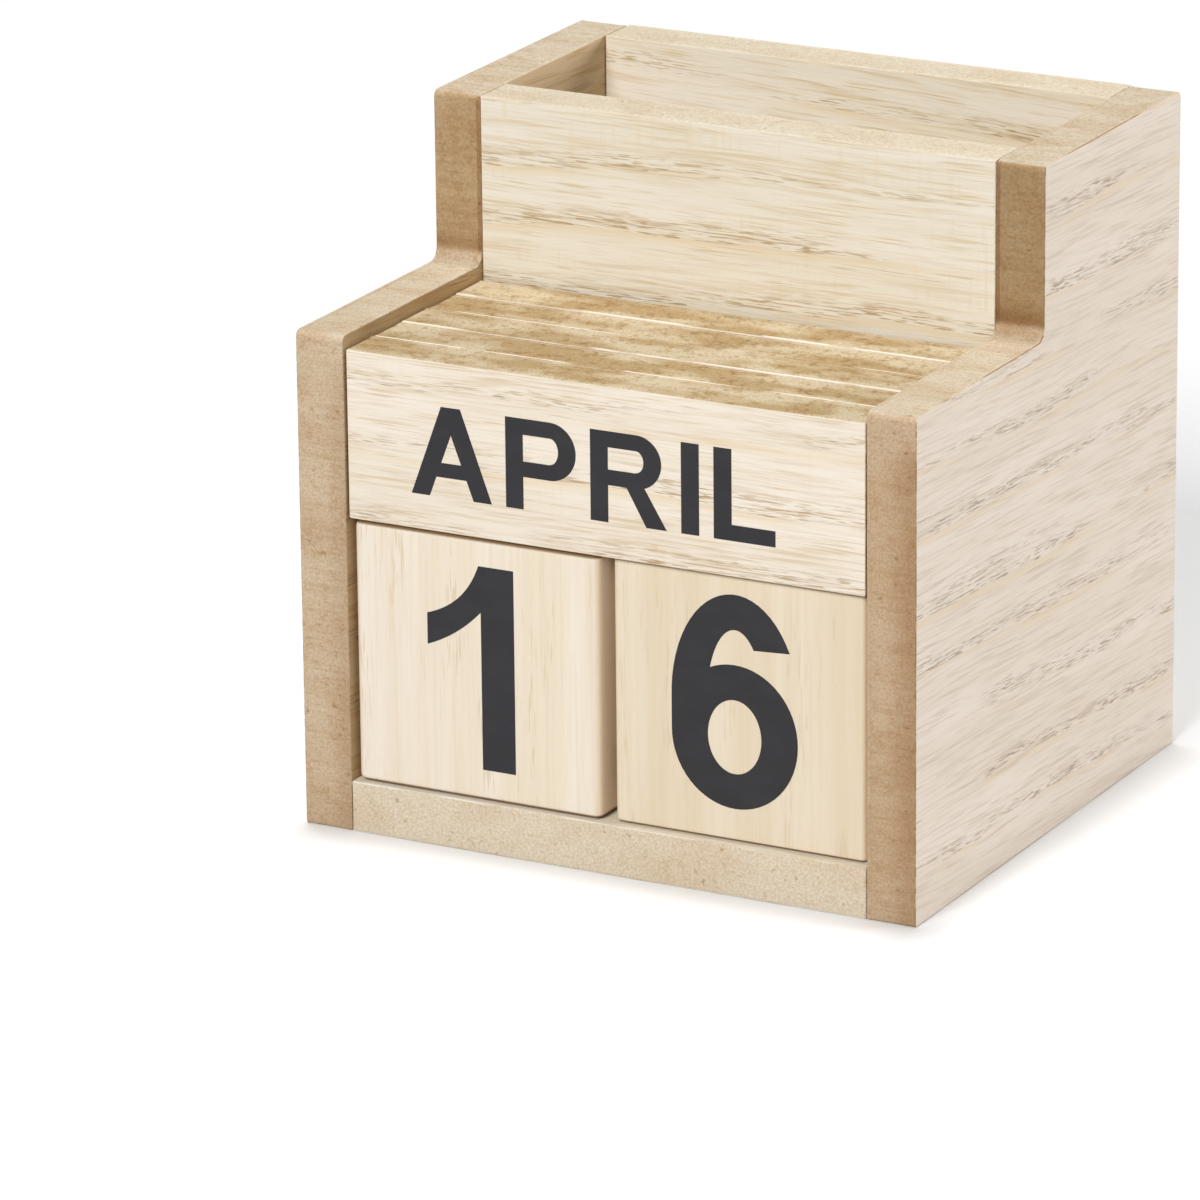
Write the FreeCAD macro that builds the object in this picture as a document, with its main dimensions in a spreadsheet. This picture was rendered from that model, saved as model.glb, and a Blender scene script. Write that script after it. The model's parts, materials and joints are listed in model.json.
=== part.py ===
"""Perpetual desk calendar with an open pen pocket, in millimetres.

A small carcass is glued up from veneered fibreboard: two stepped cheeks, a base, a divider and a back.
The low bay in front holds two date cubes with a row of month tiles standing on them, and the tall
pocket behind the divider holds pens. The cubes pull out to the front and the tiles lift out.

The frame: +X to the right, +Y to the back, +Z up, origin under the middle of the carcass on the table.
"""
import FreeCAD, Part
import math
import os
import Sketcher

# Driving sizes: name, value, what it is.
SIZES = [
    ("core_thickness", 5.0, "fibreboard core of every board"),
    ("veneer_thickness", 0.5, "face veneer on both sides of every board"),
    ("cube_edge", 31.2, "edge length of a date cube"),
    ("cube_round", 0.6, "sanded radius on all edges of a cube"),
    ("cube_side_gap", 0.6, "clearance between a cube and the cheek beside it"),
    ("cube_middle_gap", 1.4, "clearance between the two cubes"),
    ("left_cube_recess", 0.4, "how far the left cube stands behind the front edge"),
    ("right_cube_recess", 1.1, "how far the right cube stands behind the front edge"),
    ("tile_count", 5, "number of month tiles in the row"),
    ("tile_height", 19.8, "height of a month tile"),
    ("tile_end_gap", 0.25, "clearance between a tile's end and the cheek beside it"),
    ("tile_gap", 0.3, "clearance between two tiles in the row"),
    ("tile_recess", 0.3, "how far the first tile stands behind the front edge"),
    ("bay_back_gap", 0.2, "least clearance between the divider and what stands in the bay"),
    ("bay_rim", 1.5, "how far the cheeks stand above the tiles in front"),
    ("riser_height", 20.0, "how far the pocket stands above the front of the cheeks"),
    ("pocket_depth", 24.5, "clear depth of the pen pocket, front to back"),
    ("step_radius", 1.5, "radius in the inside corner of a cheek's step"),
    ("corner_radius", 0.8, "radius on the upper outside corners of a cheek"),
]

# Sizes that follow from them: name, formula, what it is. Depths are counted from the front edge.
FITS = [
    ("board", "Sizes.core_thickness + 2 * Sizes.veneer_thickness", "finished board thickness"),
    ("far_glue_line", "Sizes.veneer_thickness + Sizes.core_thickness", "first face to the second veneer"),
    ("bay_width", "2 * Sizes.cube_edge + Sizes.cube_middle_gap + 2 * Sizes.cube_side_gap", "between cheeks"),
    ("width", "bay_width + 2 * board", "over both cheeks"),
    ("cube_reach", "max(Sizes.left_cube_recess; Sizes.right_cube_recess) + Sizes.cube_edge", "rear of cubes"),
    ("tile_pitch", "board + Sizes.tile_gap", "front of one tile to front of the next"),
    ("tile_reach", "Sizes.tile_recess + Sizes.tile_count * tile_pitch - Sizes.tile_gap", "rear of last tile"),
    ("bay_depth", "max(cube_reach; tile_reach) + Sizes.bay_back_gap", "front face of the divider"),
    ("pocket_front", "bay_depth + board", "front wall of the pocket"),
    ("pocket_back", "pocket_front + Sizes.pocket_depth", "rear wall of the pocket"),
    ("depth", "pocket_back + board", "over the whole carcass"),
    ("cube_top", "board + Sizes.cube_edge", "table to the top of the cubes"),
    ("bay_height", "cube_top + Sizes.tile_height + Sizes.bay_rim", "table to the top of the low cheek"),
    ("height", "bay_height + Sizes.riser_height", "over the whole carcass"),
    ("wall_height", "height - board", "divider and back, which stand on the base"),
    ("tile_length", "bay_width - 2 * Sizes.tile_end_gap", "length of a month tile"),
]

# The three layers of a board, from its first face: where each begins and how thick it is.
LAYERS = [
    ("0", "Sizes.veneer_thickness"),
    ("Sizes.veneer_thickness", "Sizes.core_thickness"),
    ("Fits.far_glue_line", "Sizes.veneer_thickness"),
]
UPRIGHT_LAYERS = ("front_veneer", "core", "back_veneer")
# Where each of the first four sides of a cheek's outline ends, counted from its front lower corner.
OUTLINE_ENDS = [
    ("DistanceY", "bay_height"),
    ("DistanceX", "bay_depth"),
    ("DistanceY", "height"),
    ("DistanceX", "depth"),
]
FRONT_EDGE = "-Fits.depth / 2"
BAY_LEFT = "-Fits.bay_width / 2"
BAY_RIGHT = "Fits.bay_width / 2"
BOX_SIDES = {"x": "Length", "y": "Width", "z": "Height"}
SAME_POINT = 1e-4

doc = FreeCAD.newDocument("PerpetualCalendar")
pieces = []


def fill_sheet(name, rows, lead=""):
    """A spreadsheet with one value in each row: its name, its number or formula, and its meaning."""
    sheet = doc.addObject("Spreadsheet::Sheet", name)
    for row, (alias, content, meaning) in enumerate(rows, start=1):
        sheet.set(f"A{row}", alias)
        sheet.set(f"B{row}", f"{lead}{content}")
        sheet.set(f"C{row}", meaning)
        sheet.setAlias(f"B{row}", alias)
    doc.recompute()
    return sheet


def add_piece(piece, corner):
    """Count an object as a piece of the model, with its low corner where three expressions say."""
    for axis, expression in corner.items():
        piece.setExpression(f"Placement.Base.{axis}", expression)
    pieces.append(piece)


def flat_board(layer_names, normal, corner, extent):
    """A rectangular board: three boxes glued face to face along the axis called normal."""
    for name, (start, thickness) in zip(layer_names, LAYERS):
        layer = doc.addObject("Part::Box", name)
        for axis, expression in (extent | {normal: thickness}).items():
            layer.setExpression(BOX_SIDES[axis], expression)
        add_piece(layer, corner | {normal: f"{corner[normal]} + {start}"})


def cheek_outline(body):
    """A cheek seen from the side: low along the bay, then one step up to the pocket."""
    sketch = body.newObject("Sketcher::SketchObject", f"{body.Name}_outline")
    side_plane = next(plane for plane in body.Origin.OriginFeatures if plane.Role == "YZ_Plane")
    sketch.AttachmentSupport = [(side_plane, "")]
    sketch.MapMode = "FlatFace"
    corners = cheek_corners()
    count = len(corners)
    for side in range(count):
        ends = (corners[side], corners[(side + 1) % count])
        sketch.addGeometry(Part.LineSegment(*[FreeCAD.Vector(*end) for end in ends]))
    for side in range(count):
        sketch.addConstraint(Sketcher.Constraint("Coincident", side, 2, (side + 1) % count, 1))
        sketch.addConstraint(Sketcher.Constraint("Horizontal" if side % 2 else "Vertical", side))
    sketch.addConstraint(Sketcher.Constraint("Coincident", 0, 1, -1, 1))
    for side, (kind, cell) in enumerate(OUTLINE_ENDS):
        index = sketch.addConstraint(Sketcher.Constraint(kind, -1, 1, side, 2, fits.get(cell)))
        sketch.setExpression(f"Constraints[{index}]", f"Fits.{cell}")
    return sketch


def cheek_corners():
    """The outline's corners as depth and height, from the front lower corner up and round to the back."""
    low, high = fits.get("bay_height"), fits.get("height")
    step, deep = fits.get("bay_depth"), fits.get("depth")
    return [(0, 0), (0, low), (step, low), (step, high), (deep, high), (deep, 0)]


def edges_at(feature, corners):
    """Names of the edges that run across a layer's thickness at the given outline corners."""
    names = []
    for number, edge in enumerate(feature.Shape.Edges, start=1):
        for corner in corners:
            if all(math.dist((end.Y, end.Z), corner) < SAME_POINT for end in edge.Vertexes):
                names.append(f"Edge{number}")
    return names


def fillet(body, base, edges, radius):
    """Round the named edges of the body's newest feature."""
    rounding = body.newObject("PartDesign::Fillet", f"{body.Name}_{radius}")
    rounding.Base = (base, edges)
    rounding.setExpression("Radius", f"Sizes.{radius}")
    doc.recompute()
    return rounding


def cheek_layer(name, thickness, corner):
    """One layer of a cheek: the stepped outline padded, with the step and the upper corners rounded."""
    body = doc.addObject("PartDesign::Body", name)
    pad = body.newObject("PartDesign::Pad", f"{name}_pad")
    pad.Profile = cheek_outline(body)
    pad.setExpression("Length", thickness)
    doc.recompute()
    _, low_front, step, high_front, high_back, _ = cheek_corners()
    stepped = fillet(body, pad, edges_at(pad, [step]), "step_radius")
    fillet(body, stepped, edges_at(stepped, [low_front, high_front, high_back]), "corner_radius")
    add_piece(body, corner)


def cheek(layer_names, first_face):
    """A cheek board: three layers of the same outline, glued face to face from left to right."""
    for name, (start, thickness) in zip(layer_names, LAYERS):
        cheek_layer(name, thickness, {"x": f"{first_face} + {start}", "y": FRONT_EDGE, "z": "0"})


def date_cube(name, left_face, recess):
    """A solid wooden cube standing on the base, with every edge sanded round."""
    body = doc.addObject("PartDesign::Body", name)
    block = body.newObject("PartDesign::AdditiveBox", f"{name}_block")
    for side in BOX_SIDES.values():
        block.setExpression(side, "Sizes.cube_edge")
    doc.recompute()
    rounding = fillet(body, block, ["Face1"], "cube_round")
    rounding.UseAllEdges = True
    add_piece(body, {"x": left_face, "y": f"{FRONT_EDGE} + {recess}", "z": "Fits.board"})


def month_tile(number):
    """A veneered tile standing on both cubes; number 1 is in front and the others follow in a row."""
    front = f"{FRONT_EDGE} + Sizes.tile_recess + {number - 1} * Fits.tile_pitch"
    flat_board([f"month_tile_{number}_{layer}" for layer in UPRIGHT_LAYERS], "y",
               {"x": f"{BAY_LEFT} + Sizes.tile_end_gap", "y": front, "z": "Fits.cube_top"},
               {"x": "Fits.tile_length", "z": "Sizes.tile_height"})


def pocket_wall(name, front):
    """A wall of the pocket: it stands on the base between the cheeks and is as high as they are."""
    flat_board([f"{name}_{layer}" for layer in UPRIGHT_LAYERS], "y",
               {"x": BAY_LEFT, "y": f"{FRONT_EDGE} + {front}", "z": "Fits.board"},
               {"x": "Fits.bay_width", "z": "Fits.wall_height"})


def carcass():
    """The five glued boards: the cheeks stand on the table and hold everything else between them."""
    cheek(("left_side_outer_veneer", "left_side_core", "left_side_inner_veneer"), "-Fits.width / 2")
    cheek(("right_side_inner_veneer", "right_side_core", "right_side_outer_veneer"), BAY_RIGHT)
    flat_board(("base_bottom_veneer", "base_core", "base_top_veneer"), "z",
               {"x": BAY_LEFT, "y": FRONT_EDGE, "z": "0"}, {"x": "Fits.bay_width", "y": "Fits.depth"})
    pocket_wall("divider", "Fits.bay_depth")
    pocket_wall("back", "Fits.pocket_back")


def check_document():
    """Stop if any object failed to rebuild, or any piece has no valid solid of its own."""
    for item in doc.Objects:
        if {"Invalid", "Error"} & set(item.State):
            raise RuntimeError(f"{item.Name} failed: {item.State}")
    for piece in pieces:
        shape = piece.Shape
        if shape.isNull() or not shape.isValid() or len(shape.Solids) != 1:
            raise RuntimeError(f"{piece.Label} is not one valid solid")


sizes = fill_sheet("Sizes", SIZES)
fits = fill_sheet("Fits", FITS, lead="=")
carcass()
date_cube("left_cube", f"{BAY_LEFT} + Sizes.cube_side_gap", "Sizes.left_cube_recess")
date_cube("right_cube", "Sizes.cube_middle_gap / 2", "Sizes.right_cube_recess")
for tile_number in range(1, round(sizes.get("tile_count")) + 1):
    month_tile(tile_number)
doc.recompute()
check_document()

os.makedirs("parts", exist_ok=True)
for piece in pieces:
    piece.Shape.exportStep(f"parts/{piece.Label}.step")
whole = Part.makeCompound([piece.Shape for piece in pieces]).BoundBox
print(f"{len(pieces)} pieces, {whole.XLength:.2f} x {whole.YLength:.2f} x {whole.ZLength:.2f} mm")
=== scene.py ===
"""Looks of a wooden perpetual desk calendar with a pen pocket: veneered boards, date cubes and printing.

Run as a script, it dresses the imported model; its panel lists the same steps for a user in the 3D view.
"""
import json
import math

import bpy
import numpy as np
from mathutils import Matrix, Vector
from mathutils.geometry import delaunay_2d_cdt

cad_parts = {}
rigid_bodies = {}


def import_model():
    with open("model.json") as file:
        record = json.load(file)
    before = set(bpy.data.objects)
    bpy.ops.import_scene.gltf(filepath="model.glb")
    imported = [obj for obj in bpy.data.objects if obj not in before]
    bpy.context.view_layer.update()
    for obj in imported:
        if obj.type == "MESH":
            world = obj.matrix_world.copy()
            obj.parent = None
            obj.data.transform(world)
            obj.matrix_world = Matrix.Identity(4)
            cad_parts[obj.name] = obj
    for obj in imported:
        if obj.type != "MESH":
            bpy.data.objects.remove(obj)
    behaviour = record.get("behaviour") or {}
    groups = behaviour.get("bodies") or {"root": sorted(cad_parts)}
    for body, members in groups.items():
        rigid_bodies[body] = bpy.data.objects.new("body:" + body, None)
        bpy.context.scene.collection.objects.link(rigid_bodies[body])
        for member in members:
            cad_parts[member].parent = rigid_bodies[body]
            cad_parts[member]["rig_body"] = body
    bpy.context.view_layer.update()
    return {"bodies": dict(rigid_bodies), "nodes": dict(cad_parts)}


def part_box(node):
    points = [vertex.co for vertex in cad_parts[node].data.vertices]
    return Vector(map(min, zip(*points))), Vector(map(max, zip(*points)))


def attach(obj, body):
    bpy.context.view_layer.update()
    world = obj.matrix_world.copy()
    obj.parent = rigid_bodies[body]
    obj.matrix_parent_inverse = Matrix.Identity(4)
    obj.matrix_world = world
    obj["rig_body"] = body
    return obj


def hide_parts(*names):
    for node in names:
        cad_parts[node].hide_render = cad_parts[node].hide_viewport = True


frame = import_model()

bl_info = {
    "name": "Perpetual Desk Calendar",
    "version": (1, 0, 0),
    "blender": (4, 5, 0),
    "location": "View3D > Sidebar > Calendar",
    "description": "Builds the boards, date cubes, printing and studio of a wooden desk calendar",
    "category": "Object",
}

MM = 0.001
X, Y, Z = 0, 1, 2
# The two axes that a flat outline lies in, for each axis that it is carried along.
OUTLINE_AXES = {X: (Y, Z), Y: (Z, X), Z: (X, Y)}
TILES = sorted(body for body in frame["bodies"] if body.startswith("month_tile_"))
# What each month tile says in front and behind: any month can be lifted out and put to the front.
TILE_WORDS = (("APRIL", "MARCH"), ("MAY", "JUNE"), ("JAN", "FEB"), ("AUG", "SEPT"), ("OCT", "NOV"))
# The digit on each cube's front, right, back, left, top and bottom; a 6 turned over serves as 9.
CUBE_DIGITS = {"left_cube": "134520", "right_cube": "678120"}
# Right and up of the print on those faces.
CUBE_FACES = (((1, 0, 0), (0, 0, 1)), ((0, 1, 0), (0, 0, 1)), ((-1, 0, 0), (0, 0, 1)),
              ((0, -1, 0), (0, 0, 1)), ((1, 0, 0), (0, 1, 0)), ((1, 0, 0), (0, -1, 0)))
# How far the printing stands off the middle of its face, right and up, in millimetres.
WORD_SHIFT = (-1.4, -0.5)
DIGIT_SHIFTS = {"left_cube": (-0.66, 0.25), "right_cube": (-0.55, 0.8)}
# How much shorter each tile is sawn than the tallest, in millimetres.
TILE_SHORTFALLS = (0, 0.1, 0.04, 0.16, 0.07)
# A cheek's rounded corners, in millimetres: at the table, on top outside, and inside the step.
FOOT_RADIUS, TOP_RADIUS, STEP_RADIUS = 0.3, 0.8, 1.5
CORE_SLOT, VENEER_SLOT, CUBE_SLOT = "fibreboard_core", "face_veneer", "solid_cube_wood"


# ---------------------------------------------------------------------------------------------------
# Colours and nodes

def linear(code):
    """An sRGB hex colour as linear RGB."""
    parts = [int(code[at:at + 2], 16) / 255 for at in (1, 3, 5)]
    return tuple(c / 12.92 if c <= 0.04045 else ((c + 0.055) / 1.055) ** 2.4 for c in parts)


def shade(colour, *shares):
    """A linear colour with each channel multiplied by a share, as the RGBA that shaders take."""
    return tuple(part * share for part, share in zip(colour, shares or (1, 1, 1))) + (1.0,)


def add(tree, kind, inputs=None, output=0, **settings):
    """Add a node with its settings, give its inputs values or links, and return one of its outputs."""
    node = tree.nodes.new(f"ShaderNode{kind}")
    for name, value in settings.items():
        setattr(node, name, value)
    for socket, value in (inputs or {}).items():
        if isinstance(value, bpy.types.NodeSocket):
            tree.links.new(value, node.inputs[socket])
        else:
            node.inputs[socket].default_value = value
    return node.outputs[output] if node.outputs else node


class Finish:
    """A material in the making, whose patterns lie on the object's own coordinates.

    turn is the rotation that brings the wood's grain onto X, and start moves the pattern, so that no
    two boards are alike. A pattern goes smoothly from the first to the second number of shown, as its
    texture goes from low to high.
    """

    def __init__(self, name, roughness, ior, turn=(0, 0, 0), start=(0, 0, 0)):
        self.material = bpy.data.materials.new(name)
        self.material.use_nodes = True
        self.tree = self.material.node_tree
        self.tree.nodes.clear()
        surface = add(self.tree, "BsdfPrincipled", {"Roughness": roughness, "IOR": ior})
        self.shader = surface.node
        add(self.tree, "OutputMaterial", {"Surface": surface})
        self.place = add(self.tree, "TexCoord", output="Object")
        self.grain = add(self.tree, "Mapping", {"Vector": self.place, "Location": start,
                                                "Rotation": turn})

    def wander(self, along, across, reach):
        """Let the grain stray up and down by up to about a reach in millimetres, over along x across."""
        scale = (1 / (along * MM), 1 / (across * MM), 1 / (across * MM))
        place = add(self.tree, "Mapping", {"Vector": self.grain, "Scale": scale})
        stray = add(self.tree, "TexNoise", {"Vector": place, "Scale": 1.0, "Detail": 1.0}, output="Color")
        self.grain = add(self.tree, "VectorMath", {0: stray, 1: (0, 0, 3 * reach * MM), 2: self.grain},
                         operation="MULTIPLY_ADD")

    def pattern(self, low, high, shown, kind, along, across, inputs, **settings):
        """Where a texture shows whose figures are about along x across millimetres."""
        scale = (1 / (along * MM), 1 / (across * MM), 1 / (across * MM))
        place = add(self.tree, "Mapping", {"Vector": self.grain, "Scale": scale})
        texture = add(self.tree, kind, {"Vector": place, **inputs}, output="Fac", **settings)
        return add(self.tree, "MapRange", {"Value": texture, "From Min": low, "From Max": high,
                                           "To Min": shown[0], "To Max": shown[1]},
                   interpolation_type="SMOOTHSTEP")

    def fibres(self, along, across, low, high, shown=(0, 1), detail=2.0, roughness=0.5):
        """Soft noise whose grains are about along x across millimetres."""
        return self.pattern(low, high, shown, "TexNoise", along, across,
                            {"Scale": 1.0, "Detail": detail, "Roughness": roughness})

    def blotches(self, size, low, high, shown=(0, 1), detail=3.0, longer=(1, 1, 1)):
        """Soft noise of a size in millimetres, which runs on from one board to the next.

        longer is how many times that size it is along X, Y and Z.
        """
        scale = [1 / (size * times * MM) for times in longer]
        place = add(self.tree, "Mapping", {"Vector": self.place, "Scale": scale})
        texture = add(self.tree, "TexNoise", {"Vector": place, "Scale": 1.0, "Detail": detail,
                                              "Roughness": 0.6}, output="Fac")
        return add(self.tree, "MapRange", {"Value": texture, "From Min": low, "From Max": high,
                                           "To Min": shown[0], "To Max": shown[1]})

    def rings(self, spacing, length, wander, low, high, shown=(0, 1)):
        """Growth rings cut lengthwise: a saw from 0 to 1 every spacing mm that wanders over length mm."""
        # The wave texture makes 20 radians of wave for each unit, hence this scale for one wave a unit.
        return self.pattern(low, high, shown, "TexWave", length, spacing, {
            "Scale": math.tau / 20, "Distortion": wander, "Detail": 2.0, "Detail Scale": 1.2,
            "Detail Roughness": 0.45}, wave_type="BANDS", bands_direction="Z", wave_profile="SAW")

    def facing(self, axis, low, high, shown=(0, 1)):
        """How squarely the surface faces along an axis."""
        normal = add(self.tree, "NewGeometry", output="Normal")
        part = add(self.tree, "SeparateXYZ", {0: normal}, output=axis)
        square = add(self.tree, "Math", {0: part}, operation="ABSOLUTE")
        return add(self.tree, "MapRange", {"Value": square, "From Min": low, "From Max": high,
                                           "To Min": shown[0], "To Max": shown[1]},
                   interpolation_type="SMOOTHSTEP")

    def coats(self, colour, *layers, blend="MIX"):
        """Tones laid over one another, each given as its colour and the patterns that all must show."""
        for tone, shows, *others in layers:
            for other in others:
                shows = add(self.tree, "Math", {0: shows, 1: other}, operation="MULTIPLY")
            # Sockets 0, 6 and 7 are the mix node's factor and its two colours, and output 2 the result.
            colour = add(self.tree, "Mix", {0: shows, 6: colour, 7: tone}, output=2, data_type="RGBA",
                         blend_type=blend)
        return colour

    def finish(self, colour, relief, depth, gloss=None):
        """Give the shader its colour, its relief of depth millimetres and perhaps its roughness."""
        given = {"Base Color": colour, "Roughness": gloss, "Normal": add(self.tree, "Bump", {
            "Height": relief, "Distance": depth * MM, "Strength": 1.0})}
        for socket, value in given.items():
            if value is not None:
                self.tree.links.new(value, self.shader.inputs[socket])
        return self.material


# ---------------------------------------------------------------------------------------------------
# What a user would change

def length_setting(name, description, default):
    """A length in metres."""
    return bpy.props.FloatProperty(name=name, description=description, default=default, min=0,
                                   precision=5, subtype="DISTANCE", unit="LENGTH")


def colour_setting(name, description, code):
    """A colour whose default is given as sRGB hex."""
    return bpy.props.FloatVectorProperty(name=name, description=description, default=linear(code),
                                         min=0, max=1, size=3, subtype="COLOR")


class BoardSettings(bpy.types.PropertyGroup):
    """Sizes and colours of the veneered boards."""
    arris: length_setting("Arris", "Radius sanded on the outer edges of a board", 0.15 * MM)
    joint_line: length_setting("Joint line", "Hairline where a board's end meets a cheek", 0.06 * MM)
    glue_line: length_setting("Glue line", "How far the core is sanded below its veneers", 0.03 * MM)
    cheek_veneer: colour_setting("Cheek veneer", "Pale tone of the cheeks' outer veneer", "#e2d7cb")
    # The lining's browner tone is partly the sheet's own and partly painted shade of the pocket's and the
    # bay's walls.
    shaded_cheek_lining: colour_setting("Cheek lining", "Pale tone of the cheeks' inner veneer", "#cab18c")
    cheek_arris: colour_setting("Cheek arris", "Brown hairline along the cheeks' outer edges", "#94734f")
    cheek_core: colour_setting("Cheek edge", "Tone of the cheeks' sawn edge, on top", "#d9cdb9")
    cross_veneer: colour_setting("Pocket veneer", "Pale tone of the divider and base", "#f0ebdf")
    # The back board is paler than the divider and base: painted light on the pocket's back wall, which the
    # divider shades.
    back_veneer: colour_setting("Back veneer", "Pale tone of the pocket's back board", "#fdf6e8")
    cross_core: colour_setting("Pocket edge", "Tone of the sawn edge of base, divider and back", "#e3dac7")
    tile_veneer: colour_setting("Tile veneer", "Pale tone of the month tiles' veneer", "#f8efe2")
    tile_core: colour_setting("Tile edge", "Tone of the month tiles' sawn edge", "#d5c7aa")


class CubeSettings(bpy.types.PropertyGroup):
    """Size and colours of the date cubes."""
    left_rounding: length_setting("Left rounding", "Radius sanded on the left cube's edges", 0.95 * MM)
    right_rounding: length_setting("Right rounding", "Radius sanded on the right cube's edges", 0.6 * MM)
    left_cube: colour_setting("Left cube", "Pale tone of the left cube's wood", "#f4eadb")
    right_cube: colour_setting("Right cube", "Pale tone of the right cube's wood", "#ecdfca")


class PrintSettings(bpy.types.PropertyGroup):
    """Sizes and colour of the printing."""
    word_height: length_setting("Month height", "Cap height of the months", 10.5 * MM)
    letter_gap: length_setting("Letter gap", "Space between two letters of a month", 1.8 * MM)
    digit_height: length_setting("Digit height", "Height of the digits", 24.0 * MM)
    film: length_setting("Ink film", "Thickness of the printed ink", 0.03 * MM)
    ink: colour_setting("Ink", "Colour of the ink", "#2b2a2d")


class StudioSettings(bpy.types.PropertyGroup):
    """Light of the studio."""
    sky: bpy.props.FloatProperty(
        name="Sky", description="Strength of the even white light from all sides", default=0.15, min=0)
    key: bpy.props.FloatProperty(
        name="Key", description="Light of all lamps; 1 on a face would show its colours as written",
        default=1.9, min=0)


# ---------------------------------------------------------------------------------------------------
# Studio

# Lamps: name, place in metres, size in metres, colour, share of the key's irradiance.
LAMPS = (
    ("softbox_front", (0.0, -2.75, 1.9), 1.2, "#fffdfa", 0.375),
    ("softbox_above", (-0.16, 0.22, 4.0), 0.5, "#fffdfa", 0.265),
    ("softbox_behind_right", (2.7, 1.4, 0.44), 0.8, "#fffdfb", 0.325),
)
# Where the camera stands: degrees round and above, roll, millimetres from its target, and its lens.
AZIMUTH, ELEVATION, ROLL = 28.094, 18.255, -0.611
DISTANCE, TARGET = 900.42, (-0.306, -34.5, 32.269)
LENS, SENSOR = 244.3, 36.0


# ---------------------------------------------------------------------------------------------------
# Finishes

# The turns that bring the grain onto X and, where it lies flat, a board's face across Z.
GRAIN_ALONG_X = (0, 0, 0)
GRAIN_ALONG_X_FLAT = (math.radians(90), 0, 0)
GRAIN_ALONG_X_SLOPING = (0, math.radians(-3), 0)
GRAIN_ALONG_Y = (math.radians(2.5), 0, math.radians(-90))
GRAIN_ALONG_Z = (0, math.radians(90), 0)
# Tone of the pores as shares of the pale wood, and how plainly lines, pores and knife marks show.
CHEEK_FIGURE = (0.77, 0.71, 0.65), 0.75, 0.95, 0.0
POCKET_FIGURE = (0.82, 0.71, 0.55), 1.0, 0.95, 0.4
BACK_FIGURE = (0.78, 0.66, 0.47), 1.0, 1.0, 0.0
TILE_FIGURE = (0.79, 0.7, 0.57), 0.95, 1.0, 0.15
# Shares that leave a tone as it is, and a place for a browned edge that no board reaches.
EVEN, NOWHERE = (1, 1, 1), (1, 2)
# How sawn edges differ, as shares of their own tone: in their patches, on edges facing the front, and on
# those above the bay; then where those beside the bay are browned, along X in metres, and how plainly
# saw marks show.
LEFT_CHEEK_SAWN = (
    (0.91, 0.85, 0.78), (0.985, 0.912, 0.84), (0.76, 0.64, 0.485), (-36 * MM, -32.5 * MM), 0.8)
RIGHT_CHEEK_SAWN = (
    (0.93, 0.88, 0.82), (0.895, 0.778, 0.67), (0.59, 0.47, 0.325), (34 * MM, 38.5 * MM), 0.8)
POCKET_SAWN = (0.95, 0.91, 0.86), (1.052, 1.023, 1.023), EVEN, NOWHERE, 0.0
TILE_SAWN = (0.72, 0.61, 0.45), EVEN, EVEN, NOWHERE, 0.0
# Heights in metres between which a cheek's front edge loses the tone of the bay, takes the riser's, and
# loses the burn where the saw turned; and how far back none of these reach.
BAY_ENDS, RISER_STARTS, BURN_ENDS = (57 * MM, 52 * MM), (59.4 * MM, 60.6 * MM), (62.8 * MM, 60.6 * MM)
BACK_ENDS = (10 * MM, 5 * MM)
# Shares of its tone that a burn leaves.
BURNT = (0.75, 0.64, 0.53)


def sawn_edge(finish, tone, sawn):
    """Colour and felt of a board's sawn edge, which run on from its core to its veneers.

    Pressed wood flour: a soft brown felt of short flakes, in browner and paler patches, with saw marks
    across the thickness and a dark speck here and there. The saw browned edges that face the front:
    most above the bay, and beside the bay towards one side.
    """
    patch, front, riser, scorch, marks = sawn
    faces_front = finish.facing(Y, 0.35, 0.85)
    place = add(finish.tree, "SeparateXYZ", {0: finish.place}).node.outputs
    ahead, aside, beside, above, burnt = (
        add(finish.tree, "MapRange", {"Value": place[axis], "From Min": start, "From Max": end},
            interpolation_type="SMOOTHSTEP")
        for axis, (start, end) in (
            (Y, BACK_ENDS), (X, scorch), (Z, BAY_ENDS), (Z, RISER_STARTS), (Z, BURN_ENDS)))
    ground = finish.coats(
        shade(tone), (shade(tone, *front), faces_front),
        (shade(tone, *[0.86 * share * share for share in front]), faces_front, ahead, aside, beside),
        (shade(tone, *riser), faces_front, ahead, above),
        (shade(tone, *np.multiply(riser, BURNT)), faces_front, ahead, above, burnt))
    felt = finish.blotches(0.3, 0.36, 0.64)
    colour = finish.coats(
        ground,
        (shade(patch), finish.blotches(3, 0.42, 0.6, detail=1.5, longer=(3.5, 1.5, 2))),
        (shade(patch), finish.blotches(1.2, 0.5, 0.7)),
        (shade((0.82, 0.77, 0.7)), felt),
        (shade((0.9, 0.86, 0.8)), finish.fibres(6, 0.45, 0.46, 0.68, shown=(0, marks))),
        (shade((0.5, 0.42, 0.34)), finish.blotches(0.6, 0.78, 0.86, shown=(0, 0.5), detail=0)),
        blend="MULTIPLY")
    return colour, felt


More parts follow.
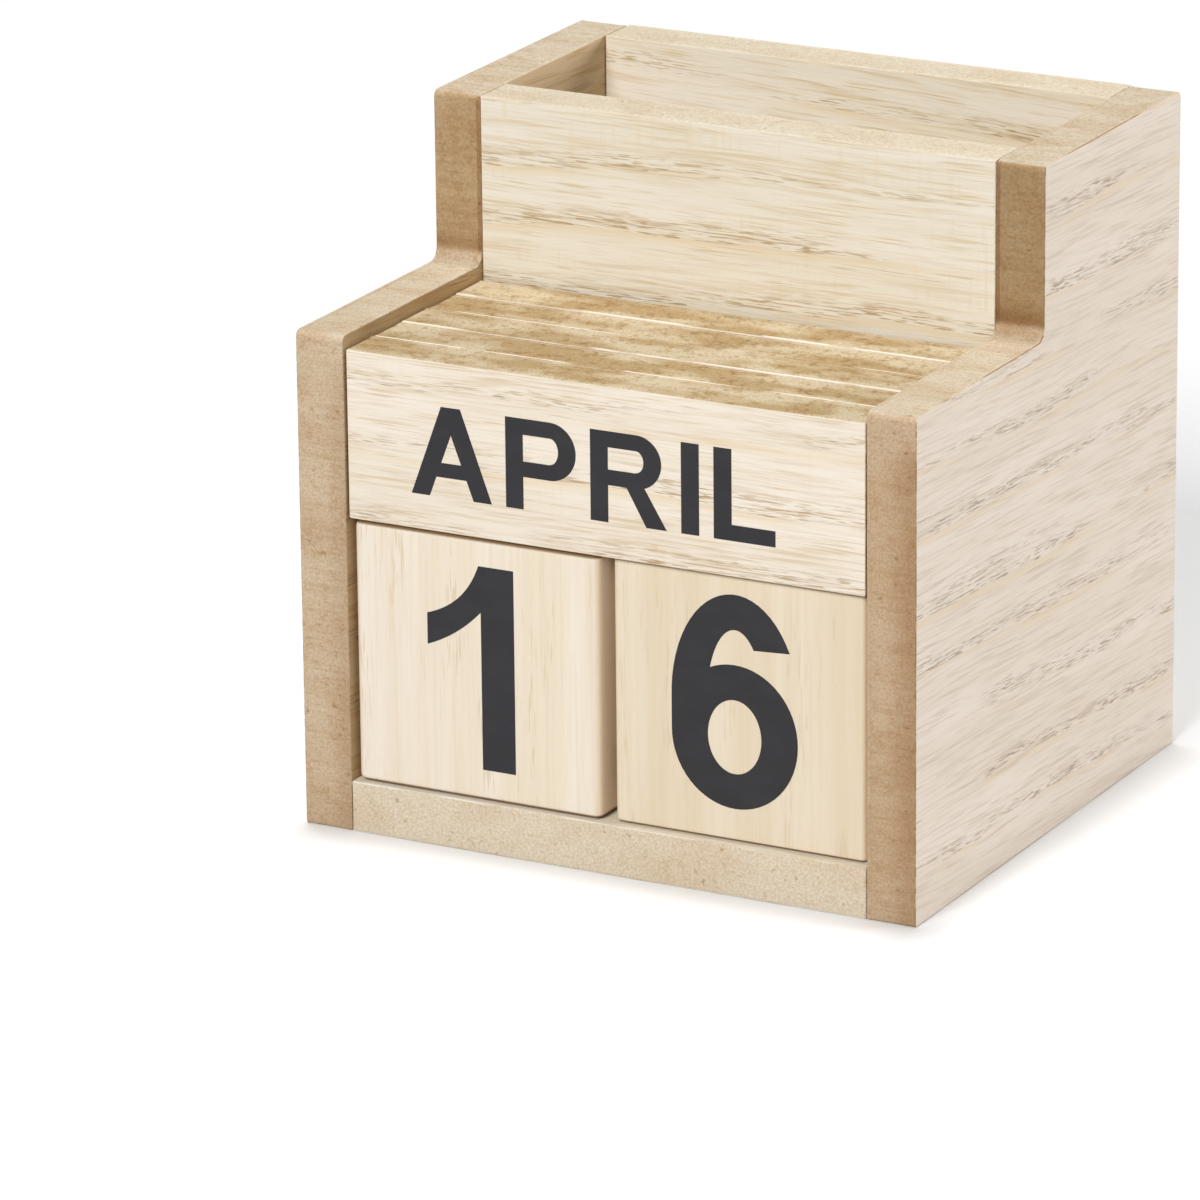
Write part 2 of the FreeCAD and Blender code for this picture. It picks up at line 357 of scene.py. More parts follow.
def sliced_paulownia(name, pale, edge, arris, figure, turn, start, face_axis, sawn):
    """Paulownia veneer, sliced and sanded, left raw.

    Pale cream wood with fine silky growth lines; its large early pores were cut open lengthwise and
    show as short brown dashes and long thin trails, crowded in bands where a slow ring begins, beside
    a warm streak where the last one ended. The sheet's own edge is sanded with the fibreboard's and
    takes on its tone, but for a hairline of the arris's own tone, if any, worn away in places. figure
    is the tone of the pores as shares of the pale wood, and how plainly lines, pores and knife marks
    show.
    """
    pore, lines, pores, knife = figure
    deep = [0.85 * share * share for share in pore]
    wood = Finish(name, roughness=0.62, ior=1.4, turn=turn, start=start)
    wood.wander(45, 9, 0.5)
    patches = wood.fibres(28, 2.6, 0.4, 0.54)
    crowded = wood.rings(7.5, 30, 4, 0.42, 0.12, shown=(0, pores))
    silk = wood.fibres(10, 0.38, 0.42, 0.72, detail=3, roughness=0.55)
    dashes = wood.fibres(2.4, 0.16, 0.54, 0.66, detail=1)
    colour = wood.coats(
        shade(pale),
        (shade(pale, 0.95, 0.935, 0.9), wood.fibres(60, 5, 0.35, 0.68)),
        (shade(pale, *pore), silk, wood.fibres(30, 2.5, 0.3, 0.7, shown=(0.3, lines))),
        (shade(pale, 0.92, 0.82, 0.64), wood.rings(7.5, 30, 4, 0.8, 0.99, shown=(0, 0.7 * lines)),
         patches),
        (shade(pale, 0.9, 0.8, 0.64), wood.fibres(0.6, 9, 0.5, 0.75, shown=(0, knife), detail=1),
         wood.fibres(25, 6, 0.5, 0.6)),
        (shade(pale, *pore), wood.fibres(8, 0.2, 0.55, 0.66, shown=(0, lines), detail=1),
         wood.fibres(18, 2, 0.45, 0.6)),
        (shade(pale, *deep), wood.fibres(7, 0.17, 0.55, 0.66, shown=(0, 0.8)), crowded, patches),
        (shade(pale, *deep), dashes, crowded, patches))
    turned = wood.facing(face_axis, 0.97, 0.8)
    colour = wood.coats(colour, (sawn_edge(wood, edge, sawn)[0], turned))
    if arris is not None:
        worn = wood.fibres(12, 1, 0.45, 0.55)
        colour = wood.coats(colour, (shade(arris), turned, wood.facing(face_axis, 0.1, 0.3), worn))
    gloss = add(wood.tree, "MapRange", {"Value": silk, "To Min": 0.55, "To Max": 0.7})
    relief = add(wood.tree, "Math", {0: silk, 1: dashes}, operation="ADD")
    return wood.finish(colour, relief, depth=-0.008, gloss=gloss)


def sawn_fibreboard(name, tone, sawn):
    """Medium-density fibreboard, sawn and sanded at its edge, left raw."""
    board = Finish(name, roughness=0.8, ior=1.4)
    colour, felt = sawn_edge(board, tone, sawn)
    return board.finish(colour, felt, depth=0.01)


def sanded_paulownia(name, pale, start, figured):
    """Solid paulownia, planed and drum-sanded, left raw.

    Quieter than the veneer: straight upright grain in silky pale streaks, with a few fine tan pores.
    figured is how plainly both show. Its rounded edges are painted browner: painted shade, matched to
    the narrow gap between the cubes. Its sides are browner than its front and back, partly in the wood
    and partly the same painted shade. Its rounded top and bottom edges are painted near black: a
    painted contact shadow where it stands on the base and the tile rests on it.
    """
    wood = Finish(name, roughness=0.6, ior=1.4, turn=GRAIN_ALONG_Z, start=start)
    silk = wood.fibres(20, 0.5, 0.4, 0.8, detail=3, roughness=0.55)
    pores = wood.fibres(4, 0.25, 0.56, 0.66, shown=(0, 0.35 * figured), detail=1)
    streaks = wood.fibres(90, 6, 0.3, 0.7, shown=(0.2 * figured, 0.6 * figured))
    colour = wood.coats(
        shade(pale),
        (shade(pale, 0.955, 0.925, 0.87), wood.fibres(90, 4.5, 0.38, 0.62)),
        (shade(pale, 0.87, 0.8, 0.69), silk, streaks),
        (shade(pale, 0.76, 0.65, 0.5), pores, wood.fibres(18, 2.5, 0.5, 0.64)),
        # Sides browner: partly the wood's side grain, partly painted shade of the gap between the cubes.
        (shade(pale, 0.98, 0.91, 0.81), wood.facing(X, 0.3, 0.9)),
        # Rounded edges browner: painted shade, matched to the narrow gap between the cubes.
        (shade(pale, 0.9, 0.79, 0.64), wood.facing(Y, 0.93, 0.3), wood.facing(X, 0.998, 0.97),
         wood.facing(Z, 0.998, 0.97)),
        # Rounded top and bottom edges near black: a painted contact shadow where the cube meets the base
        # and the tile.
        (shade(pale, 0.25, 0.16, 0.09), wood.facing(Z, 0.35, 0.65), wood.facing(Z, 0.995, 0.93)))
    relief = add(wood.tree, "Math", {0: silk, 1: pores}, operation="SUBTRACT")
    gloss = wood.fibres(20, 0.5, 0.4, 0.8, shown=(0.55, 0.66))
    return wood.finish(colour, relief, depth=0.02, gloss=gloss)


def printing_ink(name, ink):
    """Matt charcoal ink, screen-printed straight onto the raw wood.

    Near black and even, a little thinner over the open grain, with fine pinholes.
    """
    film = Finish(name, roughness=0.65, ior=1.35)
    fine = film.fibres(0.5, 0.5, 0.3, 0.7)
    colour = film.coats(
        shade(ink),
        (shade(ink, 1.2, 1.2, 1.2), film.fibres(5, 3, 0.35, 0.7)),
        (shade(ink, 1.7, 1.6, 1.5), film.fibres(0.5, 0.4, 0.62, 0.8, shown=(0, 0.4))))
    return film.finish(colour, fine, depth=0.008)


def directly_seen(tree):
    """1 on rays from the camera and on mirrored and clear ones, and 0 on rays that only carry light."""
    camera, glossy, clear = (add(tree, "LightPath", output=ray)
                             for ray in ("Is Camera Ray", "Is Glossy Ray", "Is Transmission Ray"))
    either = add(tree, "Math", {0: camera, 1: glossy}, operation="MAXIMUM")
    return add(tree, "Math", {0: either, 1: clear}, operation="MAXIMUM")


def white_card():
    """Matt card of the studio floor, rolled, with a faint tooth in its surface.

    It is seen white, cool enough to keep the shadow grey beside warm wood, and throws back onto the
    product no more light than a pale grey one.
    """
    card = Finish("matt_card_floor", roughness=0.9, ior=1.3)
    tooth = card.fibres(1.5, 1.5, 0.3, 0.7)
    colour = card.coats(shade((0.55, 0.55, 0.55)), (shade((0.57, 0.57, 0.57)), tooth),
                        (shade((0.955, 0.972, 0.997)), directly_seen(card.tree)))
    return card.finish(colour, tooth, depth=0.01)


def even_sky(strength):
    """White light from all sides, seen as plain white."""
    world = bpy.data.worlds.new("even_sky")
    world.use_nodes = True
    tree = world.node_tree
    tree.nodes.clear()
    seen = add(tree, "MapRange", {"Value": directly_seen(tree), "To Min": strength, "To Max": 1.0})
    sky = add(tree, "Background", {"Color": (1, 1, 1, 1), "Strength": seen})
    add(tree, "OutputWorld", {"Surface": sky})
    return world


# ---------------------------------------------------------------------------------------------------
# Shapes

def rounded_outline(corners, radii, steps=5):
    """Points and outward normals round a polygon, counter-clockwise, whose corners are arcs.

    An arc's centre lies one radius from both sides of its corner, inside the shape at an outer corner
    and outside at an inner one. Its normal swings from one side's to the next's in equal angles, and
    each point is the centre plus or minus a radius along its normal.
    """
    corners, radii = np.asarray(corners, float), np.asarray(radii, float)[:, None]
    ahead = np.roll(corners, -1, axis=0) - corners
    ahead /= np.linalg.norm(ahead, axis=1, keepdims=True)
    after = np.stack([ahead[:, 1], -ahead[:, 0]], axis=1)
    before, behind = np.roll(after, 1, axis=0), np.roll(ahead, 1, axis=0)
    outer = np.sign(behind[:, 0] * ahead[:, 1] - behind[:, 1] * ahead[:, 0])[:, None]
    cosine = (before * after).sum(axis=1, keepdims=True)
    centre = corners - outer * radii * (before + after) / (1 + cosine)
    angle = np.arccos(cosine)[:, None]
    share = np.linspace(0, 1, steps + 1)[None, :, None]
    normals = (np.sin((1 - share) * angle) * before[:, None] + np.sin(share * angle) * after[:, None])
    normals /= np.sin(angle)
    points = centre[:, None] + outer[:, None] * radii[:, None] * normals
    return points.reshape(-1, 2), normals.reshape(-1, 2), steps + 1


def layer_profile(low, high, outward, arris):
    """Insets and heights of one layer from low to high, eased where its face looks outward.

    The arris is a quarter round: inset = arris x (1 - cos a), and the height stops short of the face
    by arris x (1 - sin a), as a goes from 0 to 90 degrees.
    """
    if outward == 0:
        return np.zeros(2), np.array([low, high])
    angle = np.linspace(0, math.pi / 2, 5)
    inset = np.append(0, arris * (1 - np.cos(angle)))
    height = np.append(low, high - arris * (1 - np.sin(angle)))
    return (inset, height) if outward > 0 else (inset[::-1], low + high - height[::-1])


def carried_solid(name, outline, profile, axis, material):
    """A closed solid: an outline carried along an axis, drawn in by the profile's inset at each height.

    Point (ring, side) is the outline's point minus inset x its normal, at the ring's height, and a
    face closes each end.
    """
    points, normals, per_corner = outline
    inset, height = profile
    rings, sides = len(inset), len(points)
    first, second = OUTLINE_AXES[axis]
    drawn_in = points[None] - inset[:, None, None] * normals[None]
    grid = np.empty((rings, sides, 3))
    grid[..., [first, second]] = drawn_in
    grid[..., axis] = height[:, None]
    ring, side = np.meshgrid(np.arange(rings - 1), np.arange(sides), indexing="ij")
    here, beside = ring * sides + side, ring * sides + (side + 1) % sides
    quads = np.stack([here, beside, beside + sides, here + sides], axis=-1).reshape(-1, 4)
    ends = [np.arange(sides)[::-1].tolist(), ((rings - 1) * sides + np.arange(sides)).tolist()]
    # A face is curved at the outline's corners or where the inset changes with height, else flat.
    straight_side = side % per_corner == per_corner - 1
    straight_ring = ((np.diff(inset) == 0) | (np.diff(height) == 0))[ring]
    smooth = np.append(~(straight_side & straight_ring), [False, False])
    return new_piece(name, grid.reshape(-1, 3), quads.tolist() + ends, material, smooth)


def new_piece(name, points, faces, material, smooth=None):
    """Put points and faces into a new object with one material."""
    mesh = bpy.data.meshes.new(name)
    mesh.from_pydata(points.tolist(), [], faces)
    if smooth is not None:
        mesh.polygons.foreach_set("use_smooth", smooth)
        mesh.set_sharp_from_angle(angle=math.radians(40))
    mesh.materials.append(material)
    mesh.update()
    piece = bpy.data.objects.new(name, mesh)
    bpy.context.scene.collection.objects.link(piece)
    return piece


def cheek_outline(node):
    """A cheek seen from the side: low along the bay, one step up in front of the divider, then level."""
    low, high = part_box(node)
    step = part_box("divider_front_veneer")[0].y
    corners = np.array([tuple(vertex.co) for vertex in frame["nodes"][node].data.vertices])
    shelf = corners[corners[:, Y] < step - STEP_RADIUS * MM, Z].max()
    path = [(low.y, low.z), (high.y, low.z), (high.y, high.z),
            (step, high.z), (step, shelf), (low.y, shelf)]
    radii = np.array([FOOT_RADIUS, FOOT_RADIUS, TOP_RADIUS, TOP_RADIUS, STEP_RADIUS, TOP_RADIUS]) * MM
    return rounded_outline(path, radii)


def rectangle(node, axis, radius, trim=((0, 0), (0, 0))):
    """A node's rectangle seen along an axis, with rounded corners.

    trim is what is taken off its low and high end, along each of the outline's two axes.
    """
    low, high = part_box(node)
    (u, v), (u_trim, v_trim) = OUTLINE_AXES[axis], trim
    left, right = low[u] + u_trim[0], high[u] - u_trim[1]
    foot, head = low[v] + v_trim[0], high[v] - v_trim[1]
    return rounded_outline([(left, foot), (right, foot), (right, head), (left, head)], [radius] * 4)


def shrunk(outline, inset):
    """The outline drawn in by an inset all round."""
    points, normals, per_corner = outline
    return points - inset * normals, normals, per_corner


def dress_layer(node, outline, axis, outward, material):
    """Stand a layer of a board in for its node: an eased veneer, or a core sanded below its veneers."""
    boards = bpy.context.scene.calendar_boards
    low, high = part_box(node)
    if outward == 0:
        outline = shrunk(outline, boards.glue_line)
    profile = layer_profile(low[axis], high[axis], outward, boards.arris)
    piece = carried_solid(f"{node}_piece", outline, profile, axis, material)
    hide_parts(node)
    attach(piece, frame["nodes"][node]["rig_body"])


# ---------------------------------------------------------------------------------------------------
# Lettering, drawn as strokes 100 units high

def bar(left, foot, right, head):
    """An upright or level stroke."""
    return [[(left, foot), (right, foot), (right, head), (left, head)]]


def slant(foot, head, low=0, high=100):
    """A straight stroke with level cuts, whose left and right edges run from foot to head."""
    return [[(foot[0], low), (foot[1], low), (head[1], high), (head[0], high)]]


def bow(centre, radii, stroke, start, end, inner_start=None, inner_end=None):
    """A curved stroke: the band between two ellipses, from one angle to another in degrees."""
    outer = np.radians(np.linspace(start, end, 33))
    inner = np.radians(np.linspace(end if inner_end is None else inner_end,
                                   start if inner_start is None else inner_start, 33))
    round_out = np.stack([np.cos(outer), np.sin(outer)], axis=1) * radii + centre
    round_in = np.stack([np.cos(inner), np.sin(inner)], axis=1) * np.subtract(radii, stroke) + centre
    return [np.concatenate([round_out, round_in]).tolist()]


def loop(centre, radii, stroke):
    """A closed curved stroke, in two halves."""
    return bow(centre, radii, stroke, 0, 180) + bow(centre, radii, stroke, 180, 360)


def flag():
    """The flag of a 1: two hollow curves from an upright cut to the head of the stem."""
    way = np.linspace(0, 1, 17)[:, None]
    lower = (1 - way) ** 2 * (0, 58) + 2 * way * (1 - way) * (17, 64.5) + way ** 2 * (30, 79)
    upper = (1 - way) ** 2 * (27.5, 100) + 2 * way * (1 - way) * (20.5, 80) + way ** 2 * (0, 73.4)
    return [np.concatenate([lower, [(30, 100)], upper]).tolist()]


STEM = bar(0, 0, 21, 100)
PEN, DIGIT_PEN = (21, 17.5), (18.5, 17)
# Width and strokes of each character.
LETTERS = {
    "A": (97, slant((0, 22), (37, 60)) + slant((75, 97), (37, 60)) + bar(20, 22, 77, 38)),
    "B": (86, STEM + bar(0, 82.5, 50, 100) + bar(0, 43, 52, 59) + bar(0, 0, 52, 17.5)
          + bow((50, 71.5), (30, 28.5), PEN, -90, 90) + bow((52, 29.5), (34, 29.5), PEN, -90, 90)),
    "C": (94, bow((49, 50), (49, 52), PEN, 36, 324)),
    "E": (78, STEM + bar(0, 82.5, 76, 100) + bar(0, 42, 71, 59) + bar(0, 0, 78, 17.5)),
    "F": (74, STEM + bar(0, 82.5, 74, 100) + bar(0, 41, 66, 58)),
    "G": (98, bow((49, 50), (49, 52), PEN, 36, 335) + bar(54, 36, 98, 52) + bar(80, 10, 98, 52)),
    "H": (92, STEM + bar(71, 0, 92, 100) + bar(0, 42, 92, 59)),
    "I": (21, STEM),
    "J": (68, bar(47, 30, 68, 100) + bow((34, 31), (34, 33), PEN, -180, 0) + bar(0, 28, 20.5, 34)),
    "L": (72, STEM + bar(0, 0, 72, 17.5)),
    "M": (112, bar(0, 0, 20, 100) + bar(92, 0, 112, 100) + slant((45, 67), (0, 27))
          + slant((45, 67), (85, 112))),
    "N": (92, bar(0, 0, 20, 100) + bar(72, 0, 92, 100) + slant((68, 92), (0, 24))),
    "O": (102, loop((51, 50), (51, 52), (21.5, 18))),
    "P": (84, STEM + bar(0, 82.5, 53, 100) + bar(0, 36, 53, 53) + bow((53, 68), (31, 32), PEN, -90, 90)),
    "R": (90, STEM + bar(0, 82.5, 54, 100) + bar(0, 41, 54, 58)
          + bow((54, 70.5), (30, 29.5), PEN, -90, 90) + slant((66, 90), (40, 62), 0, 46)),
    "S": (84, bow((42, 72.5), (38, 29.5), PEN, 22, 275) + bow((42, 28), (42, 30), PEN, -160, 95)),
    "T": (86, bar(32.5, 0, 53.5, 100) + bar(0, 82.5, 86, 100)),
    "U": (91, bar(0, 36, 21, 100) + bar(70, 36, 91, 100) + bow((45.5, 36), (45.5, 38), PEN, 180, 360)),
    "V": (93, slant((36, 57), (0, 23)) + slant((36, 57), (70, 93))),
    "Y": (93, slant((36, 57), (0, 24), 38) + slant((36, 57), (69, 93), 38) + bar(36, 0, 57, 40)),
    "0": (64, loop((32, 50), (32, 52), (18.5, 17.5))),
    "1": (46, bar(28.5, 0, 46, 100) + flag()),
    "2": (64, bow((32, 69), (32, 33), DIGIT_PEN, -38, 168) + bar(0, 0, 64, 18)
          + [[(0, 16), (27, 16), (57.5, 49), (42.5, 60), (6, 27)]]),
    "3": (63, bow((31, 74.5), (29, 27.5), DIGIT_PEN, -90, 165)
          + bow((31, 28.5), (32, 30.5), DIGIT_PEN, -165, 90) + bar(22, 44, 34, 60)),
    "4": (68, bar(38, 0, 56, 100) + bar(0, 22, 68, 38) + [[(0, 38), (18, 36), (43, 76), (40, 100)]]),
    "5": (64, bar(10, 82, 60, 100) + [[(2, 45), (20, 45), (26, 100), (10, 100)]]
          + bow((31, 32), (33, 34), DIGIT_PEN, -165, 140)),
    "6": (65, bow((33, 50), (33, 52), DIGIT_PEN, 31.9, 225, 49, 190) + bar(0, 34, 12, 49)
          + loop((32.5, 33), (32.5, 35), (18.7, 17))),
    "7": (64, bar(0, 82, 64, 100) + slant((14, 34), (44, 64), 0, 84)),
    "8": (64, loop((32, 74.5), (28.5, 27.5), DIGIT_PEN) + loop((32, 28.5), (32, 30.5), DIGIT_PEN)),
}


def set_type(text, height, gap):
    """The strokes of a line of type, centred on its own middle, at a cap height and gap in metres."""
    scale, left, strokes = height / 100, 0.0, []
    for letter in text:
        width, drawn = LETTERS[letter]
        strokes += [np.multiply(stroke, scale) + (left, 0) for stroke in drawn]
        left += width * scale + gap
    return [stroke - ((left - gap) / 2, height / 2) for stroke in strokes]


def printed(strokes, middle, right, up, film, sunk):
    """Points and faces of a film of ink: overlapping strokes joined flat, then given a thickness.

    Point = middle + x right + y up, lifted off the face by the film outside and sunk under it inside.
    Walls run round wherever an edge belongs to one triangle only.
    """
    flat = np.concatenate(strokes)
    ends = np.cumsum([0] + [len(stroke) for stroke in strokes])
    shapes = [list(range(start, end)) for start, end in zip(ends, ends[1:])]
    # The joining works in tenths of a millimetre, well above its tolerance.
    tenth = 0.1 * MM
    joined = delaunay_2d_cdt([Vector(point) for point in flat / tenth], [], shapes, 1, 1e-5)
    points = np.array([tuple(point) for point in joined[0]]) * tenth
    triangles = np.array([face for face, source in zip(joined[2], joined[5]) if source])
    edges = np.concatenate([triangles[:, [0, 1]], triangles[:, [1, 2]], triangles[:, [2, 0]]])
    _, index, count = np.unique(
        np.sort(edges, axis=1), axis=0, return_inverse=True, return_counts=True)
    rim = edges[count[index.ravel()] == 1]
    right, up = np.asarray(right, float), np.asarray(up, float)
    outward = np.cross(right, up)
    face = np.asarray(middle) + points[:, :1] * right + points[:, 1:] * up
    below = len(points)
    walls = np.stack([rim[:, 0] + below, rim[:, 1] + below, rim[:, 1], rim[:, 0]], axis=1)
    faces = triangles.tolist() + (triangles[:, ::-1] + below).tolist() + walls.tolist()
    return np.concatenate([face + film * outward, face - sunk * outward]), faces


def join(parts):
    """Several sets of points and faces as one set."""
    starts = np.cumsum([0] + [len(points) for points, _ in parts])
    faces = [[corner + start for corner in face]
             for start, (_, faces) in zip(starts, parts) for face in faces]
    return np.concatenate([points for points, _ in parts]), faces


def product_camera(scene):
    """A long lens looking slightly down on the front and the right-hand side."""
    azimuth, elevation, roll = (math.radians(angle) for angle in (AZIMUTH, ELEVATION, ROLL))
    back = Vector((math.sin(azimuth) * math.cos(elevation), -math.cos(azimuth) * math.cos(elevation),
                   math.sin(elevation)))
    right = Vector((math.cos(azimuth), math.sin(azimuth), 0))
    up = back.cross(right)
    turned = Matrix((math.cos(roll) * right + math.sin(roll) * up,
                     math.cos(roll) * up - math.sin(roll) * right, back)).transposed()
    lens = bpy.data.cameras.new("product_camera")
    lens.lens, lens.sensor_width = LENS, SENSOR
    camera = bpy.data.objects.new("product_camera", lens)
    camera.matrix_world = Matrix.Translation((Vector(TARGET) + DISTANCE * back) * MM) @ turned.to_4x4()
    scene.collection.objects.link(camera)
    return camera


# ---------------------------------------------------------------------------------------------------
# Steps of the panel

class CALENDAR_OT_cheeks(bpy.types.Operator):
    """Build the two stepped cheeks, each a fibreboard core between two veneers"""
    bl_idname = "calendar.cheeks"
    bl_label = "Stepped cheeks"

    def execute(self, context):
        boards = context.scene.calendar_boards
        for side, outer, seed, sawn in (
                ("left", -1, 0.31, LEFT_CHEEK_SAWN), ("right", 1, 0.74, RIGHT_CHEEK_SAWN)):
            # The saw tore the lining's edge on the riser, and browned it most.
            patch, front, riser, *rest = sawn
            torn = patch, front, np.multiply(riser, BURNT), *rest
            edge = sawn_fibreboard(f"fibreboard_{side}_cheek", boards.cheek_core, sawn)
            outside = sliced_paulownia(f"paulownia_veneer_{side}_cheek_outside", boards.cheek_veneer,
                                       boards.cheek_core, boards.cheek_arris, CHEEK_FIGURE, GRAIN_ALONG_Y,
                                       (seed, 0.2, 0.1), X, sawn)
            # The lining's browner tone is partly painted shade of the pocket's and the bay's walls.
            inside = sliced_paulownia(f"paulownia_veneer_{side}_cheek_inside", boards.shaded_cheek_lining,
                                      boards.cheek_core, None, POCKET_FIGURE, GRAIN_ALONG_Y,
                                      (seed, 0.6, 0.4), X, torn)
            outline = cheek_outline(f"{side}_side_core")
            for part, outward, material, slot in (
                    ("outer_veneer", outer, outside, VENEER_SLOT),
                    ("core", 0, edge, CORE_SLOT),
                    ("inner_veneer", -outer, inside, VENEER_SLOT)):
                dress_layer(f"{side}_side_{part}", outline, X, outward, material)
        return {"FINISHED"}


class CALENDAR_OT_cross_boards(bpy.types.Operator):
    """Build the base, divider and back that run between the cheeks"""
    bl_idname = "calendar.cross_boards"
    bl_label = "Base, divider and back"

    def execute(self, context):
        boards = context.scene.calendar_boards
        ends = (boards.joint_line,) * 2
        edge = sawn_fibreboard("fibreboard_pocket_and_base", boards.cross_core, POCKET_SAWN)
        pale = boards.cross_veneer
        for board, axis, faces, tones, figure, turn, seed in (
                ("base", Z, ("bottom", "top"), (pale, pale), POCKET_FIGURE, GRAIN_ALONG_X_FLAT, 0.15),
                ("divider", Y, ("front", "back"), (pale, None), POCKET_FIGURE, GRAIN_ALONG_X, 0.48),
                # The back board's paler veneer is painted light on the pocket's back wall, in the
                # divider's shade.
                ("back", Y, ("front", "back"), (boards.back_veneer, None), BACK_FIGURE,
                 GRAIN_ALONG_X_SLOPING, 0.93)):
            face, arris = tones
            veneer = sliced_paulownia(f"paulownia_veneer_{board}", face, boards.cross_core, arris,
                                      figure, turn, (seed, 0.5, 0.7), axis, POCKET_SAWN)
            trim = ((0, 0), ends) if axis == Y else (ends, (0, 0))
            outline = rectangle(f"{board}_core", axis, 1.1 * boards.arris, trim)
            for part, outward, material, slot in (
                    (f"{faces[0]}_veneer", -1, veneer, VENEER_SLOT),
                    ("core", 0, edge, CORE_SLOT),
                    (f"{faces[1]}_veneer", 1, veneer, VENEER_SLOT)):
                dress_layer(f"{board}_{part}", outline, axis, outward, material)
        return {"FINISHED"}


class CALENDAR_OT_month_tiles(bpy.types.Operator):
    """Build the row of month tiles, each a fibreboard core between two veneers"""
    bl_idname = "calendar.month_tiles"
    bl_label = "Month tiles"

    def execute(self, context):
        boards = context.scene.calendar_boards
        edge = sawn_fibreboard("fibreboard_month_tiles", boards.tile_core, TILE_SAWN)
        back_veneer = sliced_paulownia("paulownia_veneer_tile_backs", boards.tile_veneer,
                                       boards.tile_core, None, TILE_FIGURE, GRAIN_ALONG_X,
                                       (0.9, 0.8, 0.6), Y, TILE_SAWN)
        for number, tile in enumerate(TILES):
            start = (0.37 * number, 0.11 * number, 0.23 * number)
            # The first tile is handled most: its arris has dulled.
            arris = boards.tile_veneer if number else None
            veneer = sliced_paulownia(f"paulownia_veneer_{tile}", boards.tile_veneer,
                                      boards.tile_core, arris, TILE_FIGURE, GRAIN_ALONG_X, start, Y,
                                      TILE_SAWN)
            # No two tiles are sawn to quite the same height.
            short = TILE_SHORTFALLS[number] * MM
            outline = rectangle(f"{tile}_core", Y, 0.3 * MM, ((0, short), (0, 0)))
            for part, outward, material, slot in (
                    ("front_veneer", -1, veneer, VENEER_SLOT),
                    ("core", 0, edge, CORE_SLOT),
                    ("back_veneer", 1, back_veneer, VENEER_SLOT)):
                dress_layer(f"{tile}_{part}", outline, Y, outward, material)
        return {"FINISHED"}


class CALENDAR_OT_date_cubes(bpy.types.Operator):
    """Build the two date cubes with their sanded edges"""
    bl_idname = "calendar.date_cubes"
    bl_label = "Date cubes"

    def execute(self, context):
        cubes = context.scene.calendar_cubes
        film = context.scene.calendar_print.film
        for node, pale, radius, start, figured in (
                ("left_cube", cubes.left_cube, cubes.left_rounding, (0.2, 0.6, 0.1), 1.6),
                ("right_cube", cubes.right_cube, cubes.right_rounding, (0.7, 0.1, 0.5), 0.9)):
            wood = sanded_paulownia(f"paulownia_{node}", pale, start, figured)
            # The cube is smaller than its node by the film of ink that stands on each face.
            low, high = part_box(node)
            outline = rectangle(node, Z, 1.1 * radius, ((film, film), (film, film)))
            angle = np.linspace(0, math.pi / 2, 7)
            rise, inset = radius * (1 - np.sin(angle)), radius * (1 - np.cos(angle))
            profile = (np.concatenate([inset[::-1], inset]),
                       np.concatenate([low.z + film + rise[::-1], high.z - film - rise]))
            piece = carried_solid(f"{node}_piece", outline, profile, Z, wood)
            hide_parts(node)
            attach(piece, frame["nodes"][node]["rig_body"])
        return {"FINISHED"}


class CALENDAR_OT_printing(bpy.types.Operator):
    """Print the months on the tiles and the digits on the cubes"""
    bl_idname = "calendar.printing"
    bl_label = "Printing"

    def execute(self, context):
        setting = context.scene.calendar_print
        ink = printing_ink("screen_printing_ink", setting.ink)
        sunk = setting.film
        for tile, words in zip(TILES, TILE_WORDS):
            parts = []
            for word, side in zip(words, (-1, 1)):
                node = f"{tile}_front_veneer" if side < 0 else f"{tile}_back_veneer"
                low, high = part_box(node)
                middle = (low + high) / 2 + Vector((-side * WORD_SHIFT[0], 0, WORD_SHIFT[1])) * MM
                middle.y = low.y if side < 0 else high.y
                strokes = set_type(word, setting.word_height, setting.letter_gap)
                parts.append(printed(strokes, middle, (-side, 0, 0), (0, 0, 1), setting.film, sunk))
            self.lay(f"{tile}_months", parts, ink, tile)
        for node, digits in CUBE_DIGITS.items():
            low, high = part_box(node)
            centre, half = (low + high) / 2, (high - low) / 2 - Vector((setting.film,) * 3)
            parts = []
            for digit, (right, up) in zip(digits, CUBE_FACES):
                right, up = Vector(right), Vector(up)
                outward = right.cross(up)
                across, rise = DIGIT_SHIFTS[node]
                middle = centre + outward * half.x + (right * across + up * rise) * MM
                strokes = set_type(digit, setting.digit_height, 0)
                parts.append(printed(strokes, middle, right, up, setting.film, sunk))
            self.lay(f"{node}_digits", parts, ink, frame["nodes"][node]["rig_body"])
        return {"FINISHED"}

    @staticmethod
    def lay(name, parts, ink, body):
        """Make the prints on one tile or cube one piece that rides with it."""
        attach(new_piece(name, *join(parts), ink), body)


